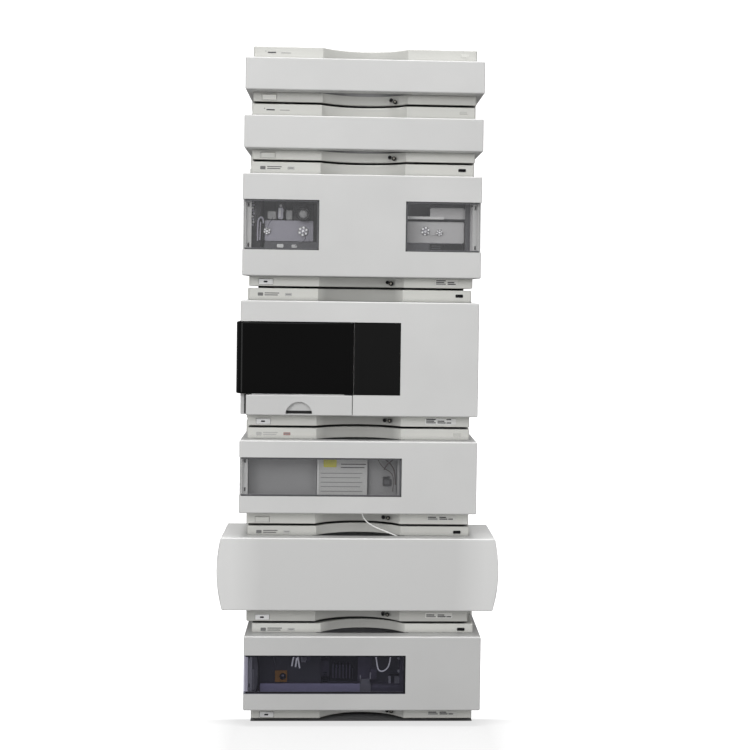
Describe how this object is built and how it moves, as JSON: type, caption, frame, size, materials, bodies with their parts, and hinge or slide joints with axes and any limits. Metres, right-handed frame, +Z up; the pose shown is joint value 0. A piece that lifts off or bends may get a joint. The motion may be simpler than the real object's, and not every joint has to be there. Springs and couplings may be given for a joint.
{
  "type": "liquid chromatography stack",
  "caption": "Stack of bench-top liquid chromatography instruments with pull-off fronts, clear and smoked windows, a hinged sampler door, power buttons and rear connectors.",
  "frame": {"origin": "middle of the footprint, on the bench under the lowest runners", "axes": "+X to the right as seen from the front, -Y towards the front covers, +Z up"},
  "size_m": [0.4102, 0.435, 0.988],
  "materials": {
    "cabinet": "fine grained moulding",
    "cover": "fine grained moulding",
    "chassis": "grey powder coat",
    "button": "smooth",
    "button_pale": "smooth",
    "lamp": "smooth",
    "rubber": "matt",
    "drain": "matt",
    "connector": "matt",
    "data_connector": "plated",
    "clear": "clear acrylic",
    "smoked": "polished acrylic",
    "door_rail": "fine grained moulding",
    "pump_metal": "satin",
    "manifold": "matt",
    "knob": "fluted",
    "tray": "matt",
    "vial": "clear glass",
    "arm": "satin",
    "optics": "grey powder coat",
    "optics_b": "grey powder coat",
    "card": "satin print",
    "heater": "satin",
    "column": "polished",
    "tube": "smooth"
  },
  "bodies": {
    "stack": {"degasser_top_housing": "cabinet", "degasser_top_lid": "cabinet", "degasser_top_chassis": "chassis", "degasser_low_housing": "cabinet", "degasser_low_lid": "cabinet", "degasser_low_chassis": "chassis", "pump_housing": "cabinet", "pump_lid": "cabinet", "pump_chassis": "chassis", "sampler_housing": "cabinet", "sampler_lid": "cabinet", "sampler_chassis": "chassis", "detector_a_housing": "cabinet", "detector_a_lid": "cabinet", "detector_a_chassis": "chassis", "oven_housing": "cabinet", "oven_lid": "cabinet", "oven_chassis": "chassis", "detector_b_housing": "cabinet", "detector_b_lid": "cabinet", "detector_b_chassis": "chassis", "rubber_feet": "rubber", "status_lamps": "lamp", "drain_outlets": "drain", "mains_inlets": "connector", "data_ports": "data_connector", "pump_heads": "pump_metal", "pump_manifold": "manifold", "vial_tray": "tray", "vials": "vial", "sampler_injector": "arm", "detector_a_optics": "optics", "detector_a_card": "card", "detector_b_optics": "optics_b", "column_heaters": "heater", "column": "column", "transfer_tube": "tube"},
    "degasser_top_front": {"degasser_top_cover": "cover"},
    "degasser_low_front": {"degasser_low_cover": "cover"},
    "pump_front": {"pump_cover": "cover", "pump_windows": "clear"},
    "sampler_front": {"sampler_cover": "cover", "sampler_window": "smoked"},
    "detector_a_front": {"detector_a_cover": "cover", "detector_a_window": "clear"},
    "oven_front": {"oven_cover": "cover"},
    "detector_b_front": {"detector_b_cover": "cover", "detector_b_window": "clear"},
    "sampler_door": {"sampler_door": "smoked", "sampler_door_rail": "door_rail"},
    "degasser_top_power": {"degasser_top_button": "button_pale"},
    "degasser_low_power": {"degasser_low_button": "button_pale"},
    "pump_power": {"pump_button": "button"},
    "sampler_power": {"sampler_button": "button"},
    "detector_a_power": {"detector_a_button": "button_pale"},
    "oven_power": {"oven_button": "button"},
    "detector_b_power": {"detector_b_button": "button"},
    "purge_knob": {"purge_knob": "knob"},
    "needle_carriage": {"sampler_carriage": "arm"},
    "needle_arm": {"sampler_arm": "arm"}
  },
  "joints": [
    {"name": "degasser_top_cover_pull", "type": "slide", "parent": "stack", "child": "degasser_top_front", "axis": [0, -1, 0], "range_m": [0, 0.15]},
    {"name": "degasser_low_cover_pull", "type": "slide", "parent": "stack", "child": "degasser_low_front", "axis": [0, -1, 0], "range_m": [0, 0.15]},
    {"name": "pump_cover_pull", "type": "slide", "parent": "stack", "child": "pump_front", "axis": [0, -1, 0], "range_m": [0, 0.15]},
    {"name": "sampler_cover_pull", "type": "slide", "parent": "stack", "child": "sampler_front", "axis": [0, -1, 0], "range_m": [0, 0.15]},
    {"name": "detector_a_cover_pull", "type": "slide", "parent": "stack", "child": "detector_a_front", "axis": [0, -1, 0], "range_m": [0, 0.15]},
    {"name": "oven_cover_pull", "type": "slide", "parent": "stack", "child": "oven_front", "axis": [0, -1, 0], "range_m": [0, 0.15]},
    {"name": "detector_b_cover_pull", "type": "slide", "parent": "stack", "child": "detector_b_front", "axis": [0, -1, 0], "range_m": [0, 0.15]},
    {"name": "sampler_door_hinge", "type": "hinge", "parent": "sampler_front", "child": "sampler_door", "pos_m": [-0.176, -0.0925, 0.536], "axis": [0, 0, -1], "range_deg": [0, 105]},
    {"name": "degasser_top_power_press", "type": "slide", "parent": "stack", "child": "degasser_top_power", "axis": [0, 1, 0], "range_m": [0, 0.0025], "stiffness_N_per_m": 600},
    {"name": "degasser_low_power_press", "type": "slide", "parent": "stack", "child": "degasser_low_power", "axis": [0, 1, 0], "range_m": [0, 0.0025], "stiffness_N_per_m": 600},
    {"name": "pump_power_press", "type": "slide", "parent": "stack", "child": "pump_power", "axis": [0, 1, 0], "range_m": [0, 0.0025], "stiffness_N_per_m": 600},
    {"name": "sampler_power_press", "type": "slide", "parent": "stack", "child": "sampler_power", "axis": [0, 1, 0], "range_m": [0, 0.0025], "stiffness_N_per_m": 600},
    {"name": "detector_a_power_press", "type": "slide", "parent": "stack", "child": "detector_a_power", "axis": [0, 1, 0], "range_m": [0, 0.0025], "stiffness_N_per_m": 600},
    {"name": "oven_power_press", "type": "slide", "parent": "stack", "child": "oven_power", "axis": [0, 1, 0], "range_m": [0, 0.0025], "stiffness_N_per_m": 600},
    {"name": "detector_b_power_press", "type": "slide", "parent": "stack", "child": "detector_b_power", "axis": [0, 1, 0], "range_m": [0, 0.0025], "stiffness_N_per_m": 600},
    {"name": "purge_knob_turn", "type": "hinge", "parent": "stack", "child": "purge_knob", "pos_m": [-0.087, -0.1775, 0.746], "axis": [0, -1, 0], "range_deg": [0, 360]},
    {"name": "needle_carriage_run", "type": "slide", "parent": "stack", "child": "needle_carriage", "axis": [1, 0, 0], "range_m": [-0.08, 0.13]},
    {"name": "needle_arm_lift", "type": "slide", "parent": "needle_carriage", "child": "needle_arm", "axis": [0, 0, -1], "range_m": [0, 0.02]}
  ]
}
